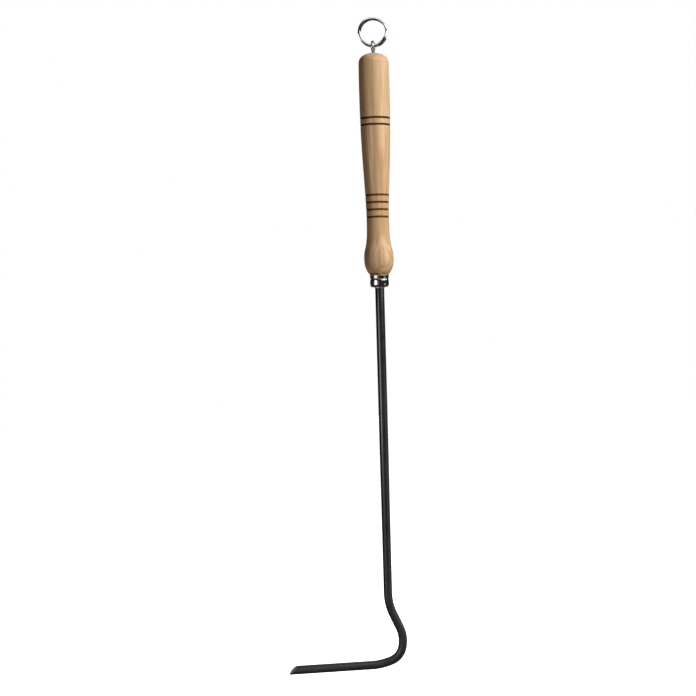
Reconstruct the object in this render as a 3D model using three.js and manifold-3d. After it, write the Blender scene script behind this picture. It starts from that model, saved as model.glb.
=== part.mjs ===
// A one-hand weeding hook. A round steel rod, bent into a hook with a long tail and a slanted point,
// is driven into a turned wooden handle behind a plated ferrule. A screw eye in the handle's crown
// carries the split ring that the tool hangs by.
//
// Millimetres, +Z up along the handle. The hook's tail points to -X and lies in the plane Y = 0,
// as the split ring does. The origin is the inside top of the split ring, where it hangs.

import * as THREE from 'three';
import { mergeVertices } from 'three/addons/utils/BufferGeometryUtils.js';
import Module from 'manifold-3d';

const wasm = await Module();
wasm.setup();

// ---- Fits ----
const seatGap = 0.3; // between two pieces that rest against each other
const swingGap = 0.3; // between the ring and the eye's hole, all through the ring's swing
const eyeSlack = 0.7; // how much wider the eye's hole is than the swinging ring needs

// ---- Split ring: flat spring wire, wound in two turns that lie face to face ----
const ringOuterRadius = 14;
const ringWireWidth = 2.4; // along the ring's radius
const ringWireThickness = 1.15; // along the ring's axis
const ringWireCorner = 0.35;
const ringTurnGap = 0.3;
const ringJogAngle = -8; // degrees above +X where the wire steps from one turn to the other
const ringJogSpan = 36; // degrees that the step takes

// ---- Screw eye: round wire, bent into a loop above a threaded shank ----
const eyeWireRadius = 1.5;
const eyeNeckInside = 0.5; // inside radius of the small bend between the shank and the loop
const eyeEndOpening = 0.2; // between the loop's open end and the line of the shank
const shankLength = 25; // from the handle's crown to the screw's point
const plainShankLength = 4;
const threadPitch = 1.8;
const threadDepth = 0.4;
const threadFlank = 0.3; // of the pitch, taken by each slope of a ridge
const screwPointLength = 3;

// ---- Handle: the radii of its outline, at distances below the crown or above the foot ----
const handleLength = 206; // from the crown to the foot that the ferrule sits against
const gripRadius = 14; // where the crown's shoulder ends
const crownShoulderRadius = 8;
const crownHeight = 9.5;
const swell = { below: 30, radius: 14.15 };
const gripEnd = { below: 60, radius: 13.9 };
const taperTop = { below: 88, radius: 13.15 };
const taperEnd = { above: 70, radius: 10.85 };
const waist = { above: 50, radius: 10.35 };
const knobNeck = { above: 37, radius: 10.65 };
const knobFlank = { above: 29, radius: 11.55 };
const knobBrow = { above: 22, radius: 13.15 };
const knobWidest = { above: 16, radius: 13.65 };
const knobCheek = { above: 9.5, radius: 13.1 };
const knobChin = { above: 5, radius: 11.5 };
const knobEnd = { above: 2.1, radius: 9.8 };
const collarLength = 1.4; // of the bead at the foot
const collarRadius = 9.1;
const collarGrooveRadius = 8.5;
const grooveDepth = 0.5;
const grooveWidth = 1.5;
const grooveFloorWidth = 0.6;
const upperGrooves = { below: 60.9, spacing: 6.2, count: 2 };
const lowerGrooves = { above: 74.6, spacing: 6.77, count: 4 };

// ---- Ferrule: a plated steel cup over the handle's tenon ----
const ferruleRadius = 8.7;
const ferruleLength = 10.3;
const ferruleWall = 1;
const ferruleFloor = 1.4;
const ferruleEdgeRadius = 1.8;
const ferruleLipLength = 0.8; // of the burr that stands out round the rod
const ferruleLipWall = 0.5;
const ferruleBeadBelow = 2.9; // from the ferrule's mouth to its rolled line
const ferruleBeadDepth = 0.35;
const ferruleBeadWidth = 1;

// ---- Hook rod: one length of round bar ----
const rodRadius = 4;
const tangLength = 85; // driven into the handle, from the handle's foot up
const exposedShaftLength = 283.2; // from the ferrule to the first bend
const outwardBend = { radius: 45.9, turn: 24.7 };
const slantRun = 14;
const hookBends = [
  { radius: 28.7, turn: -39.4 },
  { radius: 16.3, turn: -52.2 },
  { radius: 52.5, turn: -20.9 },
];
const tailRun = 73.4; // from the last bend to the middle of the slanted cut
const tipCutAngle = 45; // between the cut face and the tail
const tipCutRoll = 20; // degrees that the cut face is turned to -Y about the tail
const sawWaste = 12; // length of bar that the saw takes off past the middle of the cut

// ---- Fineness of the solids ----
const sectionsPerBend = 5; // for every 60 degrees of turn
const ringSections = 72;
const rodSides = 20;
const wireSides = 12;
const latheSides = 28;

// ---- Places that follow from the sizes ----
const ringInnerRadius = ringOuterRadius - ringWireWidth;
const ringMiddleRadius = ringOuterRadius - ringWireWidth / 2;
const ringCentreZ = -ringInnerRadius;
const ringPivotZ = ringCentreZ - ringMiddleRadius;
const ringHalfThickness = ringWireThickness + ringTurnGap / 2;
const ringTurningRadius = ringWireCorner
  + Math.hypot(ringWireWidth / 2 - ringWireCorner, ringHalfThickness - ringWireCorner);

const eyeHoleRadius = ringTurningRadius + swingGap + eyeSlack;
const eyeLoopRadius = eyeHoleRadius + eyeWireRadius;
const eyeNeckRadius = eyeNeckInside + eyeWireRadius;
const eyeCentreZ = ringPivotZ + ringTurningRadius + swingGap - eyeHoleRadius;
const crownZ = eyeCentreZ - eyeLoopRadius - eyeWireRadius - seatGap;

const footZ = crownZ - handleLength;
const ferruleMouthZ = footZ - seatGap;
const ferruleEndZ = ferruleMouthZ - ferruleLength;
const tangTopZ = footZ + tangLength;

const radians = (degrees) => THREE.MathUtils.degToRad(degrees);

// A bent wire or bar that lies in one plane: straight runs and round bends, end to end. Sections
// stand only where the shape needs them, so a run has two and a bend has one every few degrees.
class BentBar extends THREE.Curve {
  constructor(plane, start, heading, stretches) {
    super();
    this.plane = plane;
    this.stations = [];
    const point = start.clone();
    let direction = heading;
    for (const { run = 0, radius = 0, turn = 0 } of stretches) {
      const steps = turn === 0 ? 1 : sectionsPerBend * Math.ceil(Math.abs(turn) / 60);
      const stepTurn = radians(turn) / steps;
      const chord = turn === 0 ? run : 2 * radius * Math.sin(Math.abs(stepTurn) / 2);
      for (let step = 0; step < steps; step += 1) {
        this.stations.push({ point: point.clone(), direction });
        const along = direction + stepTurn / 2;
        point.x += chord * Math.cos(along);
        point.y += chord * Math.sin(along);
        direction += stepTurn;
      }
    }
    this.stations.push({ point: point.clone(), direction });
    this.end = { point: this.inSpace(point), direction };
  }

  inSpace(flat) {
    return this.plane === 'XZ' ? new THREE.Vector3(flat.x, 0, flat.y) : new THREE.Vector3(0, flat.x, flat.y);
  }

  get sections() {
    return this.stations.length - 1;
  }

  getSpacedPoints() {
    return this.stations.map(({ point }) => this.inSpace(point));
  }

  computeFrenetFrames() {
    const side = this.plane === 'XZ' ? new THREE.Vector3(0, 1, 0) : new THREE.Vector3(1, 0, 0);
    const tangents = this.stations.map(({ direction }) => (
      this.inSpace(new THREE.Vector2(Math.cos(direction), Math.sin(direction)))
    ));
    const normals = tangents.map((tangent) => side.clone().cross(tangent));
    const binormals = tangents.map(() => side.clone());
    return { tangents, normals, binormals };
  }
}

// The split ring's wire, seen along its middle line: two turns about Y with one step between them.
class SplitRingCoil extends THREE.Curve {
  getPoint(t) {
    const turned = t * 4 * Math.PI - radians(0.5 * ringJogSpan) * (2 * t - 1);
    const fromStep = (turned - 2 * Math.PI) / radians(ringJogSpan);
    const rise = THREE.MathUtils.smoothstep(fromStep, -0.5, 0.5);
    const y = (rise - 0.5) * (ringWireThickness + ringTurnGap);
    const angle = radians(ringJogAngle) + turned;
    return new THREE.Vector3(ringMiddleRadius * Math.cos(angle), y, ringMiddleRadius * Math.sin(angle));
  }

  getUtoTmapping(u) {
    return u;
  }

  computeFrenetFrames(segments) {
    const tangents = [];
    const normals = [];
    const binormals = [];
    for (let i = 0; i <= segments; i += 1) {
      const { x, z } = this.getPoint(i / segments);
      const outward = new THREE.Vector3(x, 0, z).normalize();
      const axis = new THREE.Vector3(0, 1, 0);
      normals.push(outward);
      binormals.push(axis);
      tangents.push(outward.clone().cross(axis));
    }
    return { tangents, normals, binormals };
  }
}

function roundSection(radius, sides) {
  const circle = new THREE.EllipseCurve(0, 0, radius, radius);
  return new THREE.Shape(circle.getPoints(sides).slice(0, -1));
}

function flatWireSection() {
  const x = ringWireWidth / 2;
  const y = ringWireThickness / 2;
  const corner = ringWireCorner;
  const shape = new THREE.Shape();
  shape.moveTo(-x + corner, -y);
  shape.lineTo(x - corner, -y);
  shape.absarc(x - corner, -y + corner, corner, -Math.PI / 2, 0);
  shape.lineTo(x, y - corner);
  shape.absarc(x - corner, y - corner, corner, 0, Math.PI / 2);
  shape.lineTo(-x + corner, y);
  shape.absarc(-x + corner, y - corner, corner, Math.PI / 2, Math.PI);
  shape.lineTo(-x, -y + corner);
  shape.absarc(-x + corner, -y + corner, corner, Math.PI, 1.5 * Math.PI);
  return shape;
}

function barGeometry(curve, radius, sides) {
  return new THREE.ExtrudeGeometry(roundSection(radius, sides), {
    steps: curve.sections,
    extrudePath: curve,
    curveSegments: 1,
  });
}

// A turned piece about Z, from its outline as points of radius and height.
function turned(outline, sides) {
  return new THREE.LatheGeometry(outline, sides).rotateX(Math.PI / 2);
}

function solidOf(geometry) {
  const bare = geometry.clone();
  bare.deleteAttribute('normal');
  bare.deleteAttribute('uv');
  const merged = mergeVertices(bare, 1e-4);
  return new wasm.Manifold(new wasm.Mesh({
    numProp: 3,
    vertProperties: new Float32Array(merged.attributes.position.array),
    triVerts: new Uint32Array(merged.index.array),
  }));
}

function geometryOf(solid) {
  const mesh = solid.getMesh();
  const geometry = new THREE.BufferGeometry();
  geometry.setAttribute('position', new THREE.BufferAttribute(new Float32Array(mesh.vertProperties), 3));
  geometry.setIndex(new THREE.BufferAttribute(new Uint32Array(mesh.triVerts), 1));
  geometry.computeVertexNormals();
  return geometry;
}

function splitRing() {
  return new THREE.ExtrudeGeometry(flatWireSection(), {
    steps: ringSections,
    extrudePath: new SplitRingCoil(),
    curveSegments: 1,
  });
}

// The screw's shank, turned with ridges for its thread, down to its point.
function screwShank() {
  const root = eyeWireRadius - threadDepth;
  const bottom = crownZ - shankLength;
  const threadTop = crownZ - plainShankLength;
  const ridges = Math.floor((threadTop - bottom - screwPointLength) / threadPitch);
  const outline = [
    new THREE.Vector2(0, crownZ),
    new THREE.Vector2(eyeWireRadius, crownZ),
    new THREE.Vector2(eyeWireRadius, threadTop),
  ];
  for (let ridge = 0; ridge < ridges; ridge += 1) {
    const top = threadTop - ridge * threadPitch;
    outline.push(new THREE.Vector2(root, top - threadFlank * threadPitch));
    outline.push(new THREE.Vector2(root, top - (1 - threadFlank) * threadPitch));
    outline.push(new THREE.Vector2(eyeWireRadius, top - threadPitch));
  }
  outline.push(new THREE.Vector2(root, threadTop - ridges * threadPitch - threadDepth));
  outline.push(new THREE.Vector2(0, bottom));
  return turned(outline.reverse(), wireSides);
}

// The neck's bend and the loop touch where the line between their centres crosses them both.
function screwEye() {
  const neckCentreBelow = Math.sqrt((eyeNeckRadius + eyeLoopRadius) ** 2 - eyeNeckRadius ** 2);
  const neckTurn = THREE.MathUtils.radToDeg(Math.atan2(neckCentreBelow, eyeNeckRadius));
  const neckZ = eyeCentreZ - neckCentreBelow;
  const endGap = THREE.MathUtils.radToDeg(Math.asin((eyeWireRadius + eyeEndOpening) / eyeLoopRadius));
  const buried = plainShankLength / 2;
  const start = new THREE.Vector2(0, crownZ - buried);
  const curve = new BentBar('YZ', start, Math.PI / 2, [
    { run: neckZ - start.y },
    { radius: eyeNeckRadius, turn: -neckTurn },
    { radius: eyeLoopRadius, turn: 270 + neckTurn - endGap },
  ]);
  const loop = solidOf(barGeometry(curve, eyeWireRadius, wireSides));
  return geometryOf(loop.add(solidOf(screwShank())));
}

// The crown is a shallow dome that runs into a rounder shoulder. The dome's radius is the one at
// which both arcs meet without a corner. It starts at the edge of the screw's pilot hole.
function crownOutline(holeRadius) {
  const across = gripRadius - crownShoulderRadius;
  const domeRadius = (across ** 2 + crownHeight ** 2 - crownShoulderRadius ** 2)
    / (2 * (crownHeight - crownShoulderRadius));
  const meet = Math.atan2(domeRadius - crownHeight, across);
  const dome = new THREE.Path();
  dome.absarc(0, crownZ - domeRadius, domeRadius, Math.acos(holeRadius / domeRadius), meet, true);
  const shoulder = new THREE.Path();
  shoulder.absarc(across, crownZ - crownHeight, crownShoulderRadius, meet, 0, true);
  return [...dome.getPoints(3), ...shoulder.getPoints(4).slice(1)];
}

// A height on the handle, from its distance below the crown or above the foot.
function heightOf({ below, above }) {
  return above === undefined ? crownZ - below : footZ + above;
}

function grooveCentres(grooves) {
  return Array.from({ length: grooves.count }, (_, i) => heightOf(grooves) - i * grooves.spacing);
}

// The body below the crown: one smooth curve through the handle's radii, cut by the grooves.
function bodyOutline() {
  const marks = [
    { below: crownHeight, radius: gripRadius },
    swell, gripEnd, taperTop, taperEnd, waist, knobNeck,
    knobFlank, knobBrow, knobWidest, knobCheek, knobChin, knobEnd,
  ];
  const curve = new THREE.SplineCurve(marks.map((mark) => new THREE.Vector2(mark.radius, heightOf(mark))));
  const smooth = curve.getPoints(2 * (marks.length - 1)).slice(1);
  const radiusAt = (z) => {
    const next = smooth.findIndex((point) => point.y < z);
    const upper = smooth[next - 1];
    const lower = smooth[next];
    return THREE.MathUtils.mapLinear(z, upper.y, lower.y, upper.x, lower.x);
  };
  const grooves = [...grooveCentres(upperGrooves), ...grooveCentres(lowerGrooves)];
  const plain = smooth.filter(({ y }) => grooves.every((centre) => Math.abs(y - centre) > grooveWidth));
  const edges = [
    { from: -grooveWidth / 2, depth: 0 },
    { from: -grooveFloorWidth / 2, depth: grooveDepth },
    { from: grooveFloorWidth / 2, depth: grooveDepth },
    { from: grooveWidth / 2, depth: 0 },
  ];
  const cuts = grooves.flatMap((centre) => edges.map(({ from, depth }) => (
    new THREE.Vector2(radiusAt(centre + from) - depth, centre + from)
  )));
  return [...plain, ...cuts].sort((a, b) => b.y - a.y);
}

function handle() {
  const pilotRadius = eyeWireRadius + seatGap;
  const pilotBottom = crownZ - shankLength - seatGap;
  const boreRadius = rodRadius + seatGap;
  const tenonRadius = ferruleRadius - ferruleWall - seatGap;
  const tenonEndZ = ferruleEndZ + ferruleFloor + seatGap;
  const crown = crownOutline(pilotRadius);
  const outline = [
    new THREE.Vector2(0, pilotBottom),
    new THREE.Vector2(pilotRadius, pilotBottom),
    new THREE.Vector2(pilotRadius, crown[0].y),
    ...crown,
    ...bodyOutline(),
    new THREE.Vector2(collarGrooveRadius, (heightOf(knobEnd) + footZ + collarLength) / 2),
    new THREE.Vector2(collarRadius, footZ + collarLength),
    new THREE.Vector2(collarRadius, footZ),
    new THREE.Vector2(tenonRadius, footZ),
    new THREE.Vector2(tenonRadius, tenonEndZ),
    new THREE.Vector2(boreRadius, tenonEndZ),
    new THREE.Vector2(boreRadius, tangTopZ + seatGap),
    new THREE.Vector2(0, tangTopZ + seatGap),
  ];
  return turned(outline.reverse(), latheSides);
}

function ferrule() {
  const holeRadius = rodRadius + seatGap;
  const boreRadius = ferruleRadius - ferruleWall;
  const beadZ = ferruleMouthZ - ferruleBeadBelow;
  const lipRadius = holeRadius + ferruleLipWall;
  const lipEndZ = ferruleEndZ - ferruleLipLength;
  const edgeCentre = ferruleRadius - ferruleEdgeRadius;
  const edge = new THREE.Path();
  edge.absarc(edgeCentre, ferruleEndZ + ferruleEdgeRadius, ferruleEdgeRadius, -Math.PI / 2, 0);
  const outline = [
    new THREE.Vector2(holeRadius, lipEndZ),
    new THREE.Vector2(lipRadius, lipEndZ),
    new THREE.Vector2(lipRadius, ferruleEndZ),
    ...edge.getPoints(3),
    new THREE.Vector2(ferruleRadius, beadZ - ferruleBeadWidth / 2),
    new THREE.Vector2(ferruleRadius - ferruleBeadDepth, beadZ),
    new THREE.Vector2(ferruleRadius, beadZ + ferruleBeadWidth / 2),
    new THREE.Vector2(ferruleRadius, ferruleMouthZ),
    new THREE.Vector2(boreRadius, ferruleMouthZ),
    new THREE.Vector2(boreRadius, ferruleEndZ + ferruleFloor),
    new THREE.Vector2(holeRadius, ferruleEndZ + ferruleFloor),
    new THREE.Vector2(holeRadius, lipEndZ),
  ];
  return turned(outline, latheSides);
}

// The bar is bent first and its point is then sawn off on the slant.
function hookRod() {
  const bendStartZ = ferruleEndZ - exposedShaftLength;
  const toCut = [
    { run: tangTopZ - bendStartZ },
    outwardBend,
    { run: slantRun },
    ...hookBends,
    { run: tailRun },
  ];
  const start = new THREE.Vector2(0, tangTopZ);
  const { point: cutPoint, direction } = new BentBar('XZ', start, -Math.PI / 2, toCut).end;
  const curve = new BentBar('XZ', start, -Math.PI / 2, [...toCut, { run: sawWaste }]);

  const sawBlock = 2 * (sawWaste + 2 * rodRadius);
  const tailPitch = Math.PI - direction;
  const place = new THREE.Matrix4().makeTranslation(cutPoint)
    .multiply(new THREE.Matrix4().makeRotationY(tailPitch))
    .multiply(new THREE.Matrix4().makeRotationX(radians(tipCutRoll)))
    .multiply(new THREE.Matrix4().makeRotationY(radians(tipCutAngle - 90)))
    .multiply(new THREE.Matrix4().makeTranslation(0, 0, sawBlock / 2));
  const waste = new THREE.BoxGeometry(sawBlock, sawBlock, sawBlock).applyMatrix4(place);
  return geometryOf(solidOf(barGeometry(curve, rodRadius, rodSides)).subtract(solidOf(waste)));
}

const wood = new THREE.MeshStandardMaterial({ color: 0xd2a878, roughness: 0.45, metalness: 0 });
const plating = new THREE.MeshStandardMaterial({ color: 0xc8c8c4, roughness: 0.15, metalness: 1 });
const blackFinish = new THREE.MeshStandardMaterial({ color: 0x2e2e2b, roughness: 0.4, metalness: 0.3 });

function piece(name, geometry, material) {
  const mesh = new THREE.Mesh(geometry, material.clone());
  mesh.name = name;
  return mesh;
}

const ring = piece('split_ring', splitRing(), plating);
ring.position.set(0, 0, ringCentreZ);

const weedingHook = new THREE.Group();
weedingHook.add(ring);
weedingHook.add(piece('screw_eye', screwEye(), plating));
weedingHook.add(piece('handle', handle(), wood));
weedingHook.add(piece('ferrule', ferrule(), plating));
weedingHook.add(piece('hook_rod', hookRod(), blackFinish));

export default weedingHook;
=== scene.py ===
import math

import bmesh
import bpy
from mathutils import Matrix, Vector


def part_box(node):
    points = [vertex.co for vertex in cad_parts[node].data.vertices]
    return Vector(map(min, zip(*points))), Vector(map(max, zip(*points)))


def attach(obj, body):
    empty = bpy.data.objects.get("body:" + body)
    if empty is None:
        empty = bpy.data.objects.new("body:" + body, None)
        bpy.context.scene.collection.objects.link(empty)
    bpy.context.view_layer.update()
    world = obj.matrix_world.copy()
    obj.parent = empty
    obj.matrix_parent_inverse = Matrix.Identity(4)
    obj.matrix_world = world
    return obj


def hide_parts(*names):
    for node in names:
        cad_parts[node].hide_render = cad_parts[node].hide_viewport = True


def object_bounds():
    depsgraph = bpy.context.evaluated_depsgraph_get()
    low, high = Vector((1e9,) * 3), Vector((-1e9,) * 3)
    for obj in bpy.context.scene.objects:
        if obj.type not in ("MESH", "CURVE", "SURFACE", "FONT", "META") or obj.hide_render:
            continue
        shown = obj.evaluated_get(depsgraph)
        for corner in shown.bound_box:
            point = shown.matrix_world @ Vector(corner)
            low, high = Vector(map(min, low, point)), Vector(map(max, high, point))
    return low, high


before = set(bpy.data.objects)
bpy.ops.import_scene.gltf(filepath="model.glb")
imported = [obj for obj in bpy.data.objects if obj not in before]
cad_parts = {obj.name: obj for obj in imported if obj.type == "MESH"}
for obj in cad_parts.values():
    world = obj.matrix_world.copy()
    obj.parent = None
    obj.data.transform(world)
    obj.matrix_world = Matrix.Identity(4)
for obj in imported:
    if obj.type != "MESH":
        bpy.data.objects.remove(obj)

cad_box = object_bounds()
MM = 0.001


# Hook rod: one length of 8 mm round mild-steel bar. It is bent cold over formers into the hook, sawn
# off on the slant to make its point, finished in baked black enamel, and driven into the handle by
# its tang. The enamel stops at the sawn face, which is bare steel.

ROD_RADIUS = 4.23 * MM
HOOK_RADIUS = 3.99 * MM  # of the bar below the taper, bends and tail included
ROD_SIDES = 48
TAPER_START = -400 * MM
TAPER_END = -455 * MM
SHAFT_END = -530.82 * MM  # height where the first bend starts
# Run, bend radius and turn in degrees of each stretch below the shaft. A positive turn goes towards +X.
HOOK_STRETCHES = (
    (0, 45.9 * MM, 24.7),
    (14 * MM, 28.7 * MM, -39.4),
    (0, 16.3 * MM, -52.2),
    (0, 52.5 * MM, -20.9),
)
TAIL_RUN = 73.4 * MM  # from the last bend to the middle of the cut
SAW_WASTE = 3 * ROD_RADIUS  # length of bar that is sawn off past the middle of the cut
CUT_ANGLE = 45  # degrees between the sawn face and the tail
CUT_ROLL = -20  # degrees that the sawn face is then turned about the tail
CUT_EDGE = 0.22 * MM
TANG_CHAMFER = 1.2 * MM
DEGREES_PER_SECTION = 3
FRONT = Vector((0, -1, 0))

TOOL, RING = "tool", "ring"


def add_node(material, kind, inputs=None, **settings):
    """Adds one shader node. An input is a plain value, or another node's output that feeds it."""
    node = material.node_tree.nodes.new("ShaderNode" + kind)
    for name, value in settings.items():
        setattr(node, name, value)
    for name, value in (inputs or {}).items():
        if isinstance(value, bpy.types.NodeSocket):
            material.node_tree.links.new(value, node.inputs[name])
        else:
            node.inputs[name].default_value = value
    return node


def new_finish(name, **sockets):
    """A material whose Principled shader has these even values on its own sockets."""
    material = bpy.data.materials.new(name)
    material.use_nodes = True
    shader = material.node_tree.nodes["Principled BSDF"]
    for socket, value in sockets.items():
        shader.inputs[socket.replace("_", " ")].default_value = value
    return material


def feed(material, socket, output):
    """Links a node's output to a socket of the material's Principled shader."""
    shader = material.node_tree.nodes["Principled BSDF"]
    material.node_tree.links.new(output, shader.inputs[socket])


def own_place(material):
    """The point's place in the piece's own space, which is the shared frame."""
    return add_node(material, "TexCoord").outputs["Object"]


def own_axes(material):
    """The point's X, Y and Z in the piece's own space, as separate values."""
    return add_node(material, "SeparateXYZ", {"Vector": own_place(material)}).outputs


def noise(material, scale, stretch=(1, 1, 1), detail=4, roughness=0.5, distortion=0):
    """A noise value on Object coordinates. Stretch is how finely it repeats along X, Y and Z."""
    spread = add_node(material, "Mapping", {"Vector": own_place(material), "Scale": stretch})
    grain = add_node(material, "TexNoise", {
        "Vector": spread.outputs["Vector"],
        "Scale": scale,
        "Detail": detail,
        "Roughness": roughness,
        "Distortion": distortion,
    })
    return grain.outputs["Fac"]


def ranged(material, value, low, high, to_low=0.0, to_high=1.0):
    """Stretches a value from one range to another, and holds it at the ends."""
    node = add_node(material, "MapRange", {
        "Value": value,
        "From Min": low,
        "From Max": high,
        "To Min": to_low,
        "To Max": to_high,
    })
    return node.outputs["Result"]


def product(material, first, second):
    """Multiplies two values."""
    return add_node(material, "Math", {0: first, 1: second}, operation="MULTIPLY").outputs["Value"]


def total(material, first, second):
    """Adds two values."""
    return add_node(material, "Math", {0: first, 1: second}, operation="ADD").outputs["Value"]


def blended(material, factor, first, second):
    """Mixes two colours by a factor."""
    return add_node(material, "MixRGB", {"Fac": factor, "Color1": first, "Color2": second}).outputs["Color"]


def bumped(material, height, depth, under=None):
    """A bumped normal. Depth is in metres, and under is the normal of a coarser bump."""
    inputs = {"Height": height, "Strength": 1.0, "Distance": depth}
    if under is not None:
        inputs["Normal"] = under
    return add_node(material, "Bump", inputs).outputs["Normal"]


def black_enamel():
    """Baked black enamel: a soft gloss that is duller and more scuffed towards the tail, with painted shade
    towards the ferrule and a painted contact shadow just under it.
    """
    material = new_finish("black_enamel", IOR=1.75)
    height = own_axes(material)["Z"]
    wear = ranged(material, height, SHAFT_END + 60 * MM, SHAFT_END - 40 * MM)

    cloud = noise(material, 60, detail=5, roughness=0.6)
    cloudy = ranged(material, cloud, 0.35, 0.7)
    shade = blended(material, cloudy, (0.020, 0.020, 0.018, 1), (0.028, 0.028, 0.025, 1))
    worn = blended(material, wear, shade, (0.025, 0.026, 0.023, 1))
    rub = noise(material, 700, stretch=(0.12, 1, 1), detail=4, roughness=0.75, distortion=0.4)
    rubbed = product(material, wear, ranged(material, rub, 0.52, 0.72, 0, 0.8))
    scuffed = blended(material, rubbed, worn, (0.062, 0.060, 0.057, 1))
    ferrule_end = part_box("ferrule")[0].z
    # Painted shade: the enamel's colour darkens over the 90 mm of rod below the ferrule.
    painted_shade_near_ferrule = ranged(material, height, ferrule_end - 90 * MM, ferrule_end, 0, 0.75)
    darker = blended(material, painted_shade_near_ferrule, scuffed, (0.005, 0.005, 0.004, 1))
    # Painted contact shadow: a near-black band just under the ferrule, whose specular is turned down too.
    painted_contact_shadow = ranged(material, height, ferrule_end - 1.6 * MM, ferrule_end - 0.6 * MM)
    feed(material, "Base Color", blended(material, painted_contact_shadow, darker, (0.003, 0.003, 0.002, 1)))
    feed(material, "Specular IOR Level", ranged(material, painted_contact_shadow, 0, 1, 0.5, 0.1))

    smears = ranged(material, noise(material, 140, detail=6, roughness=0.65), 0.3, 0.7, 0.12, 0.22)
    feed(material, "Roughness", total(material, smears, ranged(material, wear, 0, 1, 0, 0.26)))

    peel = bumped(material, noise(material, 420, detail=2), 0.03 * MM)
    dust = noise(material, 2600, detail=3, roughness=0.7)
    feed(material, "Normal", bumped(material, dust, 0.006 * MM, peel))
    return material


def sawn_steel():
    """Bare steel at the sawn face, with the saw's fine parallel lines and a little tarnish."""
    material = new_finish("sawn_steel", Metallic=0.7)
    lines = noise(material, 3000, stretch=(0.05, 1, 0.05), detail=4, roughness=0.7)
    tarnish_and_shade = noise(material, 500, detail=4)
    scored = ranged(material, lines, 0.3, 0.7)
    bright = blended(material, scored, (0.42, 0.41, 0.39, 1), (0.62, 0.61, 0.58, 1))
    tarnished = ranged(material, tarnish_and_shade, 0.5, 0.75)
    feed(material, "Base Color", blended(material, tarnished, bright, (0.24, 0.20, 0.16, 1)))
    feed(material, "Roughness", ranged(material, lines, 0.2, 0.8, 0.38, 0.6))
    feed(material, "Normal", bumped(material, lines, 0.03 * MM))
    return material


def points_on(loop):
    """The points of a loop of edges, each once."""
    return list({vert for edge in loop for vert in edge.verts})


def draw_out(bm, loop, way):
    """Carries an open loop of edges straight on by a vector, leaving a wall. Returns the new loop."""
    grown = bmesh.ops.extrude_edge_only(bm, edges=loop)["geom"]
    bmesh.ops.translate(bm, vec=way, verts=[item for item in grown if isinstance(item, bmesh.types.BMVert)])
    return [item for item in grown if isinstance(item, bmesh.types.BMEdge) and item.is_boundary]


def bend_round(bm, loop, centre, axis, angle, steps):
    """Carries an open loop of edges round an axis, leaving a wall. Returns the new loop."""
    spun = bmesh.ops.spin(
        bm, geom=points_on(loop) + loop, cent=centre, axis=axis, dvec=(0, 0, 0),
        angle=angle, steps=steps, use_merge=False, use_duplicate=False,
    )
    return [item for item in spun["geom_last"] if isinstance(item, bmesh.types.BMEdge)]


def cap(bm, loop):
    """Closes an open loop of edges with one flat face."""
    return bmesh.ops.contextual_create(bm, geom=loop)["faces"][0]


def round_off(bm, edges, width, segments=3):
    """Rounds edges over with a true radius."""
    bmesh.ops.bevel(
        bm, geom=edges, offset=width, offset_type="OFFSET", affect="EDGES",
        segments=segments, profile=0.5, material=-1, clamp_overlap=True,
    )


def add_piece(name, bm, finishes, body):
    """Makes a bmesh into a visible piece with its finishes, which rides on a body."""
    bmesh.ops.recalc_face_normals(bm, faces=bm.faces)
    for face in bm.faces:
        face.smooth = True
    for edge in bm.edges:
        edge.smooth = edge.calc_face_angle(0) < math.radians(35)
    mesh = bpy.data.meshes.new(name)
    bm.to_mesh(mesh)
    bm.free()
    for finish in finishes:
        mesh.materials.append(finish)
    piece = bpy.data.objects.new(name, mesh)
    bpy.context.scene.collection.objects.link(piece)
    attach(piece, body)
    return piece


def bent_bar(tang_top):
    """Draws the bar down from its tang, round its bends and past its cut, and saws it off there."""
    bm = bmesh.new()
    bmesh.ops.create_circle(
        bm, cap_ends=False, segments=ROD_SIDES, radius=ROD_RADIUS,
        matrix=Matrix.Translation((0, 0, tang_top)),
    )
    tang_loop = bm.edges[:]
    loop = tang_loop
    for start, end in ((tang_top, TAPER_START), (TAPER_START, TAPER_END), (TAPER_END, SHAFT_END)):
        loop = draw_out(bm, loop, (0, 0, end - start))
        if end == TAPER_END:
            thinner = HOOK_RADIUS / ROD_RADIUS
            bmesh.ops.scale(bm, vec=(thinner, thinner, 1), verts=points_on(loop))

    place, heading = Vector((0, 0, SHAFT_END)), Vector((0, 0, -1))
    for run, radius, turn in HOOK_STRETCHES:
        if run:
            loop = draw_out(bm, loop, heading * run)
            place = place + heading * run
        angle = math.radians(turn)
        centre = place + FRONT.cross(heading) * math.copysign(radius, turn)
        loop = bend_round(bm, loop, centre, FRONT, angle, math.ceil(abs(turn) / DEGREES_PER_SECTION))
        swing = Matrix.Rotation(angle, 3, FRONT)
        place, heading = centre + swing @ (place - centre), swing @ heading
    end_loop = draw_out(bm, loop, heading * (TAIL_RUN + SAW_WASTE))
    tail = {face for edge in end_loop for face in edge.link_faces}
    tail |= {edge for face in tail for edge in face.edges} | {vert for face in tail for vert in face.verts}

    cut_centre = place + heading * TAIL_RUN
    upward = heading.cross(FRONT)
    leaned = Matrix.Rotation(math.radians(CUT_ROLL), 3, heading) @ upward
    outward = heading * math.sin(math.radians(CUT_ANGLE)) + leaned * math.cos(math.radians(CUT_ANGLE))
    sawn = bmesh.ops.bisect_plane(
        bm, geom=list(tail), dist=1e-6,
        plane_co=cut_centre, plane_no=outward, clear_outer=True, clear_inner=False,
    )["geom_cut"]
    face = cap(bm, [item for item in sawn if isinstance(item, bmesh.types.BMEdge)])
    face.material_index = 1
    round_off(bm, face.edges[:], CUT_EDGE, 2)
    round_off(bm, cap(bm, tang_loop).edges[:], TANG_CHAMFER, 2)
    return bm


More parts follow.
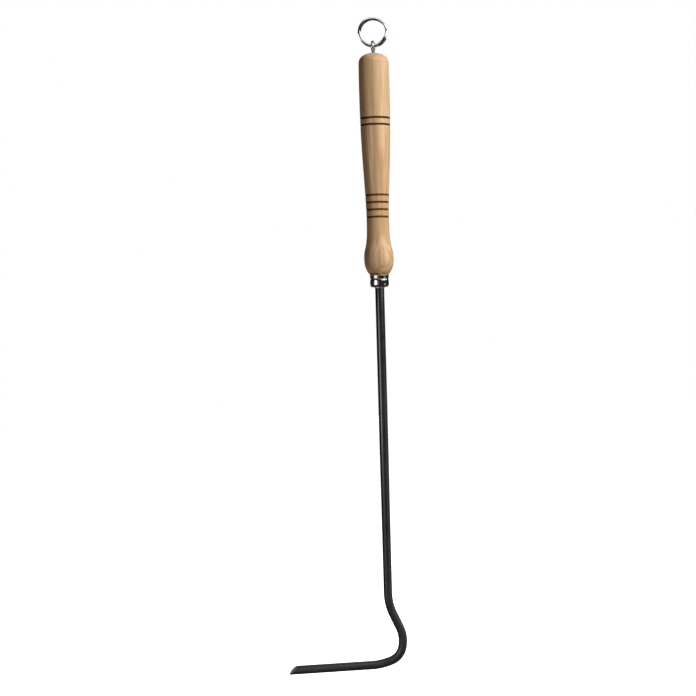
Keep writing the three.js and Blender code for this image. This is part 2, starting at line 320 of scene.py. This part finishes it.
rod_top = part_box("hook_rod")[1].z
hook_rod = add_piece("bent_rod", bent_bar(rod_top), [black_enamel(), sawn_steel()], TOOL)
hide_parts("hook_rod")


# Handle: pale close-grained hardwood, turned between centres from one straight blank. Its grooves are
# burnt in with a wire while it spins, and it is sanded and given one coat of satin lacquer. Its crown is
# coloured a pale grey that paints the lacquer's sheen there. The bore for the tang and the screw's pilot
# hole are drilled last.

CROWN = -31.02 * MM  # height of the top of the dome
HANDLE_LENGTH = 206 * MM
FOOT = CROWN - HANDLE_LENGTH
GRIP_RADIUS = 14 * MM
SHOULDER_RADIUS = 8 * MM
CROWN_HEIGHT = 9.5 * MM
# Height above the foot, or below the crown where it is negative, and the radius there.
HANDLE_MARKS = (
    (-30 * MM, 14.15 * MM),
    (-60 * MM, 13.9 * MM),
    (-88 * MM, 13.15 * MM),
    (70 * MM, 10.85 * MM),
    (50 * MM, 10.35 * MM),
    (37 * MM, 10.65 * MM),
    (29 * MM, 11.55 * MM),
    (22 * MM, 13.15 * MM),
    (16 * MM, 13.65 * MM),
    (9.5 * MM, 13.1 * MM),
    (5 * MM, 11.5 * MM),
    (2.1 * MM, 9.8 * MM),
)
BEAD_LENGTH = 1.4 * MM
BEAD_RADIUS = 9.1 * MM
BEAD_GROOVE_RADIUS = 8.5 * MM  # of the fine groove over the bead
UPPER_GROOVES = [CROWN - 61.2 * MM - i * 6.2 * MM for i in range(2)]
LOWER_GROOVES = [FOOT + 74.0 * MM - i * 6.72 * MM for i in range(4)]
GROOVE_DEPTH = 0.42 * MM
GROOVE_HALF_WIDTH = 0.75 * MM
SCORCH_HALF_WIDTH = 1.2 * MM
UPPER_SCORCH = 0.95  # the upper pair of grooves was burnt for longer
LOWER_SCORCH = 0.68
BEAD_GROOVE_SCORCH = 0.7
BEAD_SCORCH = 0.2
PITH = (0.016, -0.036, 0)  # shifts the grain, so that the tree's heart lies behind the blank
GROWTH_RING = 2.3 * MM
BORE_RADIUS = ROD_RADIUS + 0.05 * MM
BORE_PAST_TANG = 0.3 * MM
PILOT_RADIUS = 1.55 * MM
PILOT_DEPTH = 25.3 * MM
PILOT_MOUTH = 0.25 * MM  # how far the pilot hole's mouth widens
TENON_RADIUS = 7.65 * MM
TENON_CLEARANCE = 2.4 * MM  # from the tenon's end to the ferrule's
LATHE_STEPS = 128


def turn_on_lathe(outline, steps=LATHE_STEPS):
    """Spins an outline of (radius, height) points once round Z into a closed shell."""
    bm = bmesh.new()
    points = [bm.verts.new((radius, 0, height)) for radius, height in outline]
    for upper, lower in zip(points, points[1:]):
        bm.edges.new((upper, lower))
    bmesh.ops.spin(
        bm, geom=bm.verts[:] + bm.edges[:], cent=(0, 0, 0), axis=(0, 0, 1), dvec=(0, 0, 0),
        angle=math.tau, steps=steps, use_merge=True, use_duplicate=False,
    )
    bmesh.ops.remove_doubles(bm, verts=bm.verts, dist=1e-6)
    return bm


def arc(centre, radius, start, end, steps):
    """Points on an arc in the outline's plane. Angles are in radians from the radial direction."""
    turns = [start + (end - start) * i / steps for i in range(steps + 1)]
    return [(centre[0] + radius * math.cos(a), centre[1] + radius * math.sin(a)) for a in turns]


def smooth_line(marks, steps):
    """A curve through all the marks, whose tangent at each is set by its two neighbours."""
    padded = [marks[0], *marks, marks[-1]]
    line = []
    for before, start, end, after in zip(padded, padded[1:], padded[2:], padded[3:]):
        for i in range(steps):
            t = i / steps
            line.append(tuple(
                0.5 * (2 * b + (c - a) * t + (2 * a - 5 * b + 4 * c - d) * t * t
                       + (3 * b - a - 3 * c + d) * t ** 3)
                for a, b, c, d in zip(before, start, end, after)
            ))
    return [*line, marks[-1]]


def groove_depth(height):
    """How far the nearest groove lies below the wood's surface at a height."""
    nearest = min(abs(height - groove) for groove in UPPER_GROOVES + LOWER_GROOVES)
    if nearest >= GROOVE_HALF_WIDTH:
        return 0
    return GROOVE_DEPTH * 0.5 * (1 + math.cos(math.pi * nearest / GROOVE_HALF_WIDTH))


def handle_outline():
    """The handle's outline, from the pilot hole's bottom over the outside to the top of the bore."""
    across = GRIP_RADIUS - SHOULDER_RADIUS
    dome_radius = across ** 2 + CROWN_HEIGHT ** 2 - SHOULDER_RADIUS ** 2
    dome_radius /= 2 * (CROWN_HEIGHT - SHOULDER_RADIUS)
    meet = math.atan2(dome_radius - CROWN_HEIGHT, across)
    dome_start = math.acos((PILOT_RADIUS + PILOT_MOUTH) / dome_radius)
    dome = arc((0, CROWN - dome_radius), dome_radius, dome_start, meet, 8)
    shoulder = arc((across, CROWN - CROWN_HEIGHT), SHOULDER_RADIUS, meet, 0, 16)

    marks = [(GRIP_RADIUS, CROWN - CROWN_HEIGHT)]
    marks += [(radius, (CROWN if height < 0 else FOOT) + height) for height, radius in HANDLE_MARKS]
    coarse = smooth_line(marks, 8)
    grooves = UPPER_GROOVES + LOWER_GROOVES
    fine = [groove + SCORCH_HALF_WIDTH * i / 7 for groove in grooves for i in range(-7, 8)]
    clear = 1.3 * SCORCH_HALF_WIDTH
    heights = [z for _, z in coarse[1:] if all(abs(z - groove) > clear for groove in grooves)]

    def radius_at(height):
        for (upper_radius, upper), (lower_radius, lower) in zip(coarse, coarse[1:]):
            if lower <= height <= upper:
                return lower_radius + (upper_radius - lower_radius) * (height - lower) / (upper - lower)
        return coarse[-1][0]

    body = [(radius_at(z) - groove_depth(z), z) for z in sorted(heights + fine, reverse=True)]
    bead_centre = (BEAD_RADIUS - BEAD_LENGTH / 2, FOOT + BEAD_LENGTH / 2)
    bead = arc(bead_centre, BEAD_LENGTH / 2, math.radians(80), math.radians(-80), 8)
    tenon_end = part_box("ferrule")[0].z + TENON_CLEARANCE
    bore_end = rod_top + BORE_PAST_TANG
    return [
        (0, CROWN - PILOT_DEPTH),
        (PILOT_RADIUS, CROWN - PILOT_DEPTH),
        (PILOT_RADIUS, CROWN - 2 * PILOT_MOUTH),
        *dome,
        *shoulder[1:],
        *body,
        (BEAD_GROOVE_RADIUS + 0.15 * MM, FOOT + BEAD_LENGTH + 0.25 * MM),
        (BEAD_GROOVE_RADIUS, FOOT + BEAD_LENGTH + 0.05 * MM),
        *bead,
        (TENON_RADIUS, FOOT),
        (TENON_RADIUS, tenon_end),
        (BORE_RADIUS, tenon_end),
        (BORE_RADIUS, bore_end),
        (0, bore_end),
    ]


def scorch(bm):
    """Stores how burnt the wood is at each point: most in a groove, fading out just beside it."""
    burnt = bm.verts.layers.float.new("burnt")
    between = (UPPER_GROOVES[-1] + LOWER_GROOVES[0]) / 2
    for vert in bm.verts:
        height, radius = vert.co.z, vert.co.xy.length
        if radius <= TENON_RADIUS:
            continue
        if radius < BEAD_RADIUS + 0.05 * MM and height < FOOT + 2 * BEAD_LENGTH:
            vert[burnt] = BEAD_GROOVE_SCORCH if height > FOOT + BEAD_LENGTH else BEAD_SCORCH
            continue
        nearest = min(abs(height - groove) for groove in UPPER_GROOVES + LOWER_GROOVES)
        edge = (SCORCH_HALF_WIDTH - nearest) / (SCORCH_HALF_WIDTH - 0.5 * GROOVE_HALF_WIDTH)
        vert[burnt] = min(UPPER_SCORCH if height > between else LOWER_SCORCH, max(0, edge))


def lacquered_wood():
    """Pale hardwood with fine grain, rays and pores under satin lacquer, and a painted pale grey sheen on
    the crown.
    """
    material = new_finish("lacquered_wood", IOR=1.45, Coat_Roughness=0.25)
    bands = noise(material, 1, stretch=(150, 150, 5), detail=3, roughness=0.6, distortion=0.8)
    streaks = noise(material, 1, stretch=(520, 520, 9), detail=4, roughness=0.6)
    pores = noise(material, 1, stretch=(2400, 2400, 130), detail=3, roughness=0.7)
    rays = noise(material, 1, stretch=(900, 900, 240), detail=2, roughness=0.5)
    broad = noise(material, 14, detail=2)

    from_pith = add_node(material, "Mapping", {
        "Vector": own_place(material),
        "Location": PITH,
        "Scale": (1, 1, 0.06),
    })
    growth = add_node(material, "TexWave", {
        "Vector": from_pith.outputs["Vector"],
        "Scale": math.tau / (20 * GROWTH_RING),
        "Distortion": 5,
        "Detail": 3,
        "Detail Scale": 0.12,
        "Detail Roughness": 0.6,
    }, wave_type="RINGS", rings_direction="Z").outputs["Fac"]

    banded = ranged(material, bands, 0.38, 0.60)
    pale = blended(material, banded, (0.54, 0.34, 0.165, 1), (0.72, 0.50, 0.28, 1))
    ringed = blended(material, ranged(material, growth, 0.35, 1, 0, 0.55), pale, (0.46, 0.27, 0.115, 1))
    streaked = ranged(material, streaks, 0.48, 0.70, 0, 0.6)
    streaky = blended(material, streaked, ringed, (0.36, 0.195, 0.08, 1))
    clouded = blended(material, ranged(material, broad, 0.4, 0.7, 0, 0.35), streaky, (0.60, 0.375, 0.18, 1))
    rayed = blended(material, ranged(material, rays, 0.62, 0.74, 0, 0.45), clouded, (0.33, 0.18, 0.075, 1))

    axes = own_axes(material)
    height = axes["Z"]
    end_grain = ranged(material, height, CROWN - 12 * MM, CROWN - 2 * MM, 0, 0.45)
    thirsty = blended(material, end_grain, rayed, (0.50, 0.27, 0.11, 1))
    # Painted reflection: a pale grey-olive cap with a ragged edge over the crown's top stands in for the
    # lacquer's grazing sheen there.
    uneven = total(material, height, ranged(material, streaks, 0.3, 0.7, -0.9 * MM, 0.9 * MM))
    painted_crown_sheen = ranged(material, uneven, CROWN - 4.5 * MM, CROWN - 3.3 * MM, 0, 0.75)
    sheen_greyed_crown = blended(material, painted_crown_sheen, thirsty, (0.41, 0.40, 0.26, 1))
    # The pale crown cap is made darker round the screw's neck.
    across, along = (product(material, axes[axis], axes[axis]) for axis in "XY")
    round_screw = ranged(material, total(material, across, along), (1.5 * MM) ** 2, (5 * MM) ** 2, 0.7, 0)
    darker_round_screw = product(material, round_screw, painted_crown_sheen)
    crowned = blended(material, darker_round_screw, sheen_greyed_crown, (0.07, 0.055, 0.035, 1))
    porous = blended(material, ranged(material, pores, 0.60, 0.75, 0, 0.5), crowned, (0.22, 0.11, 0.045, 1))

    burnt = add_node(material, "Attribute", attribute_name="burnt").outputs["Fac"]
    ragged = product(material, burnt, ranged(material, streaks, 0.3, 0.7, 0.85, 1.15))
    toasted = blended(material, ranged(material, ragged, 0, 0.45), porous, (0.20, 0.075, 0.022, 1))
    charred = ranged(material, ragged, 0.4, 0.9)
    feed(material, "Base Color", blended(material, charred, toasted, (0.040, 0.014, 0.005, 1)))

    sheen = ranged(material, streaks, 0.3, 0.7, 0.42, 0.54)
    feed(material, "Roughness", total(material, sheen, ranged(material, burnt, 0, 1, 0, 0.3)))
    feed(material, "Coat Weight", ranged(material, burnt, 0, 0.6, 0.25, 0))
    feed(material, "Specular IOR Level", ranged(material, burnt, 0, 0.8, 0.5, 0.08))
    turned = bumped(material, streaks, 0.03 * MM)
    feed(material, "Normal", bumped(material, pores, 0.03 * MM, turned))
    return material


handle_shell = turn_on_lathe(handle_outline())
scorch(handle_shell)
handle = add_piece("turned_handle", handle_shell, [lacquered_wood()], TOOL)
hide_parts("handle")


# Ferrule: a cup pressed from thin steel sheet and bright plated. A rolled line near its mouth grips
# the tenon, its lower edge is round from the press, and the rod's hole has a thin burr round it.

FERRULE_RADIUS = 8.7 * MM
FERRULE_LENGTH = 10.58 * MM
FERRULE_WALL = 0.9 * MM
FERRULE_EDGE_RADIUS = 2.1 * MM
FERRULE_MOUTH = FOOT - 0.02 * MM
MOUTH_ROUND = 0.35 * MM
LINE_BELOW = 3.5 * MM  # from the mouth to the lower edge of the rolled line
LINE_WIDTH = 0.45 * MM
LINE_DEPTH = 0.06 * MM
LINE_FLOOR = (0.16 * MM, 0.26 * MM)  # the flat part of the line's width
LOWER_LEAN = math.radians(13)  # how far each band leans in at the rolled line
UPPER_LEAN = math.radians(15)
MOUTH_LEAN = math.radians(2)
LOWER_BAND_CURVE = 10 * MM
UPPER_BAND_CURVE = 7.5 * MM
ROD_HOLE_RADIUS = ROD_RADIUS + 0.06 * MM
BURR_WALL = 0.35 * MM
BURR_LENGTH = 1.3 * MM


def bright_plating(name, tint, smudge):
    """Bright plating: nearly a mirror, with hazy smudges, hairline scratches and a faint waviness."""
    material = new_finish(name, Metallic=1.0)
    haze = noise(material, 220, detail=5, roughness=0.6, distortion=0.8)
    hairs = noise(material, 1, stretch=(5200, 5200, 420), detail=2, roughness=0.6)
    soiled = tuple(0.82 * channel for channel in tint[:3]) + (1,)
    feed(material, "Base Color", blended(material, ranged(material, haze, 0.45, 0.75), tint, soiled))
    clean = ranged(material, haze, 0.4, 0.75, 0.05, 0.05 + smudge)
    feed(material, "Roughness", total(material, clean, ranged(material, hairs, 0.66, 0.74, 0, 0.12)))
    wavy = bumped(material, noise(material, 170, detail=1), 0.05 * MM)
    feed(material, "Normal", bumped(material, hairs, 0.002 * MM, wavy))
    return material


def ferrule_outline():
    """The cup's wall in section, from the burr round the outside to the mouth and back inside."""
    end = FERRULE_MOUTH - FERRULE_LENGTH
    half_wall = BURR_WALL / 2
    burr = arc((ROD_HOLE_RADIUS + half_wall, end - BURR_LENGTH + half_wall), half_wall, -math.pi, 0, 8)
    edge_centre = (FERRULE_RADIUS - FERRULE_EDGE_RADIUS, end + FERRULE_EDGE_RADIUS)
    edge = arc(edge_centre, FERRULE_EDGE_RADIUS, -math.pi / 2, 0, 14)

    line_bottom = FERRULE_MOUTH - LINE_BELOW
    line_top = line_bottom + LINE_WIDTH
    lower_centre = (FERRULE_RADIUS - LOWER_BAND_CURVE, line_bottom - LOWER_BAND_CURVE * math.sin(LOWER_LEAN))
    upper_centre = (FERRULE_RADIUS - UPPER_BAND_CURVE, line_top + UPPER_BAND_CURVE * math.sin(UPPER_LEAN))
    lower_band = arc(lower_centre, LOWER_BAND_CURVE, 0, LOWER_LEAN, 10)
    upper_band = arc(upper_centre, UPPER_BAND_CURVE, -UPPER_LEAN, MOUTH_LEAN, 8)
    line_radius = lower_band[-1][0] - LINE_DEPTH
    line = [(line_radius, line_bottom + rise) for rise in LINE_FLOOR]

    mouth_centre = (FERRULE_RADIUS - MOUTH_ROUND, FERRULE_MOUTH - MOUTH_ROUND)
    mouth = arc(mouth_centre, MOUTH_ROUND, 0, math.pi / 2, 6)
    inside = FERRULE_RADIUS - FERRULE_WALL
    floor = end + FERRULE_WALL
    return [
        *burr,
        (ROD_HOLE_RADIUS + BURR_WALL, end),
        *edge,
        *lower_band,
        *line,
        *upper_band,
        *mouth,
        (inside, FERRULE_MOUTH),
        (inside, floor),
        (ROD_HOLE_RADIUS, floor),
        burr[0],
    ]


def pale_burr_highlight():
    """Steel of the burr round the rod's hole, coloured a pale, dull, grainy grey: a painted highlight along
    it.
    """
    material = new_finish("pale_burr_highlight", Metallic=0.35)
    grain = noise(material, 1400, detail=4, roughness=0.7)
    speckled = ranged(material, grain, 0.3, 0.7)
    feed(material, "Base Color", blended(material, speckled, (0.62, 0.61, 0.58, 1), (0.85, 0.84, 0.80, 1)))
    feed(material, "Roughness", ranged(material, grain, 0.3, 0.7, 0.42, 0.6))
    feed(material, "Normal", bumped(material, grain, 0.02 * MM))
    return material


ferrule_shell = turn_on_lathe(ferrule_outline())
# The burr's faces take the pale finish that paints a highlight along it.
for burr_face in ferrule_shell.faces:
    if burr_face.calc_center_median().z < FERRULE_MOUTH - FERRULE_LENGTH - 0.02 * MM:
        burr_face.material_index = 1
warm_chrome = bright_plating("ferrule_plating", (0.68, 0.66, 0.60, 1), 0.10)
ferrule = add_piece("pressed_ferrule", ferrule_shell, [warm_chrome, pale_burr_highlight()], TOOL)
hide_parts("ferrule")


# Screw eye: 3 mm steel wire with a rolled wood-screw thread at one end, its other end bent round into
# a loop, nickel plated. It is screwed into the crown until the loop's neck is down at the wood, where
# the plating carries painted shade.

EYE_WIRE = 1.5 * MM
EYE_SIDES = 24
EYE_NECK_RADIUS = 2 * MM
EYE_END_EDGE = 0.3 * MM
EYE_END_GAP = 0.2 * MM  # from the wire's end to the shank
EYE_TURN = -11  # degrees it has stopped away from square to the ring
THREAD_TOP = CROWN - 4 * MM
THREAD_PITCH = 1.8 * MM
THREAD_DEPTH = 0.4 * MM
THREAD_FLANK = 0.3 * THREAD_PITCH
THREAD_TURNS = 10


def eye_wire():
    """Turns the threaded shank, draws it up out of the wood, and bends its end into the loop."""
    low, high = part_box("screw_eye")
    loop_radius = (high.y - low.y) / 2 - EYE_WIRE
    loop_height = high.z - EYE_WIRE - loop_radius
    core = EYE_WIRE - THREAD_DEPTH
    outline = [(0, low.z)]
    for turn in range(THREAD_TURNS, 0, -1):
        ridge = THREAD_TOP - turn * THREAD_PITCH
        outline += [(core, ridge - THREAD_FLANK), (EYE_WIRE, ridge), (core, ridge + THREAD_FLANK)]
    outline.append((EYE_WIRE, THREAD_TOP))
    bm = turn_on_lathe(outline, EYE_SIDES)
    loop = [edge for edge in bm.edges if edge.is_boundary]

    below = math.sqrt((EYE_NECK_RADIUS + loop_radius) ** 2 - EYE_NECK_RADIUS ** 2)
    neck_turn = math.atan2(below, EYE_NECK_RADIUS)
    neck_height = loop_height - below
    loop = draw_out(bm, loop, (0, 0, neck_height - THREAD_TOP))
    loop = bend_round(bm, loop, (0, EYE_NECK_RADIUS, neck_height), (-1, 0, 0), neck_turn, 16)
    end_gap = math.asin((EYE_WIRE + EYE_END_GAP) / loop_radius)
    full = 1.5 * math.pi + neck_turn - end_gap
    loop = bend_round(bm, loop, (0, 0, loop_height), (1, 0, 0), full, 84)
    round_off(bm, cap(bm, loop).edges[:], EYE_END_EDGE)
    stopped = Matrix.Rotation(math.radians(EYE_TURN), 3, "Z")
    bmesh.ops.rotate(bm, cent=(0, 0, 0), matrix=stopped, verts=bm.verts)
    return bm


def nickel_plating():
    """Plain nickel plating on drawn wire: a soft sheen, cloudy in places, with a fine grain, and painted
    shade that darkens and dulls it just above the wood.
    """
    material = new_finish("nickel_plating", Metallic=0.95)
    cloud = noise(material, 350, detail=5, roughness=0.6)
    grain = noise(material, 2600, detail=3, roughness=0.7)
    # Painted shade: the wire is darkened and dulled over the 3.5 mm above the crown, where the neck meets
    # the wood.
    tarnish_and_shade = ranged(material, own_axes(material)["Z"], CROWN + 3.5 * MM, CROWN + 0.5 * MM)
    cloudy = ranged(material, cloud, 0.35, 0.7)
    clouded = blended(material, cloudy, (0.88, 0.87, 0.85, 1), (0.70, 0.69, 0.67, 1))
    feed(material, "Base Color", blended(material, tarnish_and_shade, clouded, (0.20, 0.20, 0.21, 1)))
    hazy = ranged(material, cloud, 0.3, 0.7, 0.06, 0.16)
    feed(material, "Roughness", total(material, hazy, ranged(material, tarnish_and_shade, 0, 1, 0, 0.2)))
    feed(material, "Normal", bumped(material, grain, 0.006 * MM))
    return material


screw_eye = add_piece("bent_eye", eye_wire(), [nickel_plating()], TOOL)
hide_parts("screw_eye")


# Split ring: spring-steel wire rolled down to an oval, coiled in two turns that close face to face, and
# bright plated. The wire steps from the front turn to the back one between its two ends, and the back
# turn has sprung a little out of line.

RING_RADIUS = 13.6 * MM
RING_WIDTH = 2.4 * MM
RING_THICKNESS = 1.15 * MM
RING_CENTRE = Vector((-0.35, 0, -11.6)) * MM
RING_SECTION_SIDES = 28
RING_STEP_START = -26  # degrees above +X
RING_STEP_SPAN = 36
RING_TURN_SHIFT = Vector((0.75, 0, -0.6)) * MM  # how far the back turn is out of line
RING_END_EDGE = 0.15 * MM
TURN_SECTIONS = 108
STEP_SECTIONS = 12


def ring_coil():
    """Sweeps the wire's section round its front turn, over the step and round its back turn."""
    low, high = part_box("split_ring")
    middle = RING_RADIUS - RING_WIDTH / 2
    pitch = (high.y - low.y) - RING_THICKNESS
    step_span = math.radians(RING_STEP_SPAN)
    start = math.radians(RING_STEP_START) + step_span

    bm = bmesh.new()
    bmesh.ops.create_circle(bm, cap_ends=False, segments=RING_SECTION_SIDES, radius=0.5)
    bmesh.ops.scale(bm, vec=(RING_WIDTH, RING_THICKNESS, 1), verts=bm.verts)
    bmesh.ops.translate(bm, vec=(middle, -pitch / 2, 0), verts=bm.verts)
    bmesh.ops.rotate(bm, cent=(0, 0, 0), matrix=Matrix.Rotation(start, 3, FRONT), verts=bm.verts)
    bmesh.ops.translate(bm, vec=RING_CENTRE, verts=bm.verts)
    first_loop = loop = bm.edges[:]

    turn = math.tau - step_span
    loop = bend_round(bm, loop, RING_CENTRE, FRONT, turn, TURN_SECTIONS)
    risen = [0.5 - 0.5 * math.cos(math.pi * i / STEP_SECTIONS) for i in range(STEP_SECTIONS + 1)]
    for before, after in zip(risen, risen[1:]):
        loop = bend_round(bm, loop, RING_CENTRE, FRONT, step_span / STEP_SECTIONS, 1)
        way = (Vector((0, pitch, 0)) + RING_TURN_SHIFT) * (after - before)
        bmesh.ops.translate(bm, vec=way, verts=points_on(loop))
    loop = bend_round(bm, loop, RING_CENTRE + RING_TURN_SHIFT, FRONT, turn, TURN_SECTIONS)
    for end in (first_loop, loop):
        round_off(bm, cap(bm, end).edges[:], RING_END_EDGE, 2)
    return bm


cool_chrome = bright_plating("ring_plating", (0.90, 0.89, 0.86, 1), 0.03)
split_ring = add_piece("coiled_ring", ring_coil(), [cool_chrome], RING)
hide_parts("split_ring")


# Studio: a pale floor below the hanging tool, soft boxes round it, and a long-lens camera level with
# the middle of the tool. The camera is rolled by the angle at which the tool hangs off plumb.

FLOOR_DROP = 0.1
FLOOR_RADIUS = 8
HANG_ANGLE = 1.56  # degrees off plumb
CAMERA_DISTANCE = 1.5
FIELD_WIDTH = 0.6438  # width of the view at the tool
CAMERA_AIM = Vector((-0.0308, 0, -0.3032))
SENSOR_WIDTH = 36


def soft_box(name, azimuth, elevation, distance, width, height, brightness, sheds_light, shows):
    """A rectangular lamp that faces the tool. Azimuth 0 is at the camera, and 90 is at the right."""
    lamp = bpy.data.lights.new(name, "AREA")
    lamp.shape = "RECTANGLE"
    lamp.size, lamp.size_y = width, height
    lamp.energy = brightness * math.pi * width * height
    box = bpy.data.objects.new(name, lamp)
    across, up = math.radians(azimuth), math.radians(elevation)
    way = Vector((math.sin(across) * math.cos(up), -math.cos(across) * math.cos(up), math.sin(up)))
    box.location = CAMERA_AIM + way * distance
    box.rotation_mode = "QUATERNION"
    box.rotation_quaternion = way.to_track_quat("Z", "Y")
    box.visible_camera = False
    box.visible_diffuse = sheds_light
    box.visible_glossy = shows
    bpy.context.scene.collection.objects.link(box)
    return lamp


def pale_floor():
    """A wide pale disc that glows evenly, and neither lights the tool nor shows in its plating."""
    bm = bmesh.new()
    bmesh.ops.create_circle(bm, cap_ends=True, segments=96, radius=FLOOR_RADIUS)
    bmesh.ops.translate(bm, vec=(0, 0, cad_box[0].z - FLOOR_DROP), verts=bm.verts)
    mesh = bpy.data.meshes.new("floor")
    bm.to_mesh(mesh)
    bm.free()
    material = new_finish(
        "pale_floor", Base_Color=(0.8, 0.8, 0.8, 1), Roughness=0.9,
        Emission_Color=(1, 1, 1, 1), Emission_Strength=1.2,
    )
    mesh.materials.append(material)
    floor = bpy.data.objects.new("floor", mesh)
    bpy.context.scene.collection.objects.link(floor)
    floor.visible_glossy = False
    floor.visible_diffuse = False


def pale_surroundings():
    """White behind everything, but only a dim warm light on the tool and nearly dark in its plating."""
    world = bpy.data.worlds.new("surroundings")
    bpy.context.scene.world = world
    world.use_nodes = True
    nodes, links = world.node_tree.nodes, world.node_tree.links
    seen = nodes.new("ShaderNodeLightPath")
    shown = nodes["Background"]
    shown.inputs["Color"].default_value = (1, 1, 1, 1)
    shown.inputs["Strength"].default_value = 0.025
    for ray, colour, strength in (
        ("Is Diffuse Ray", (1, 0.80, 0.55, 1), 0.14),
        ("Is Camera Ray", (1, 1, 1, 1), 1),
    ):
        light = nodes.new("ShaderNodeBackground")
        light.inputs["Color"].default_value = colour
        light.inputs["Strength"].default_value = strength
        mixed = nodes.new("ShaderNodeMixShader")
        links.new(seen.outputs[ray], mixed.inputs["Fac"])
        links.new(shown.outputs[0], mixed.inputs[1])
        links.new(light.outputs[0], mixed.inputs[2])
        shown = mixed
    links.new(shown.outputs[0], nodes["World Output"].inputs["Surface"])


pale_floor()
pale_surroundings()
# Boxes that light the tool, and are not seen in its plating, enamel and lacquer.
key_lamp = soft_box("key_box", 55, 36, 1.6, 1.0, 1.0, 11.3, sheds_light=True, shows=False)
key_lamp.color = (0.98, 1, 1.06)
soft_box("back_box", 178, 30, 1.8, 0.9, 1.0, 5, sheds_light=True, shows=False)
soft_box("floor_bounce", -25, -52, 1.6, 1.2, 1.2, 2.1, sheds_light=True, shows=False)
# Boxes that are only seen as reflections.
soft_box("back_right_strip", 160, 0, 1.5, 0.3, 1.6, 0.7, sheds_light=False, shows=True)
soft_box("back_left_strip", 203, 0, 1.5, 0.2, 1.6, 0.5, sheds_light=False, shows=True)
soft_box("tip_box", 210, -5, 1.5, 0.5, 0.3, 0.6, sheds_light=False, shows=True)
soft_box("left_strip", -47, 4.3, 1.5, 0.72, 0.62, 2.2, sheds_light=False, shows=True)
soft_box("left_wash", -45, -6, 1.5, 1.75, 1.0, 0.35, sheds_light=False, shows=True)
soft_box("right_wash", 70, -14, 1.5, 0.6, 0.9, 0.4, sheds_light=False, shows=True)
soft_box("high_front_box", 6, 48, 1.7, 0.9, 1.1, 1.3, sheds_light=False, shows=True)
soft_box("high_right_box", 49, 31, 1.8, 1.5, 1.05, 1.0, sheds_light=False, shows=True)
soft_box("high_side_box", 80, 31, 1.8, 1.9, 1.05, 1.1, sheds_light=False, shows=True)
soft_box("high_back_box", 155, 38, 1.5, 1.0, 1.0, 0.6, sheds_light=False, shows=True)

roll = math.radians(HANG_ANGLE)
lens = bpy.data.cameras.new("camera")
lens.sensor_width = SENSOR_WIDTH
lens.lens = SENSOR_WIDTH * CAMERA_DISTANCE / FIELD_WIDTH
camera = bpy.data.objects.new("camera", lens)
bpy.context.scene.collection.objects.link(camera)
aim = Matrix((
    (math.cos(roll), math.sin(roll), 0),
    (0, 0, -1),
    (-math.sin(roll), math.cos(roll), 0),
))
camera.matrix_world = Matrix.Translation(CAMERA_AIM - Vector((0, CAMERA_DISTANCE, 0))) @ aim.to_4x4()
bpy.context.scene.camera = camera
bpy.context.scene.view_settings.view_transform = "Standard"
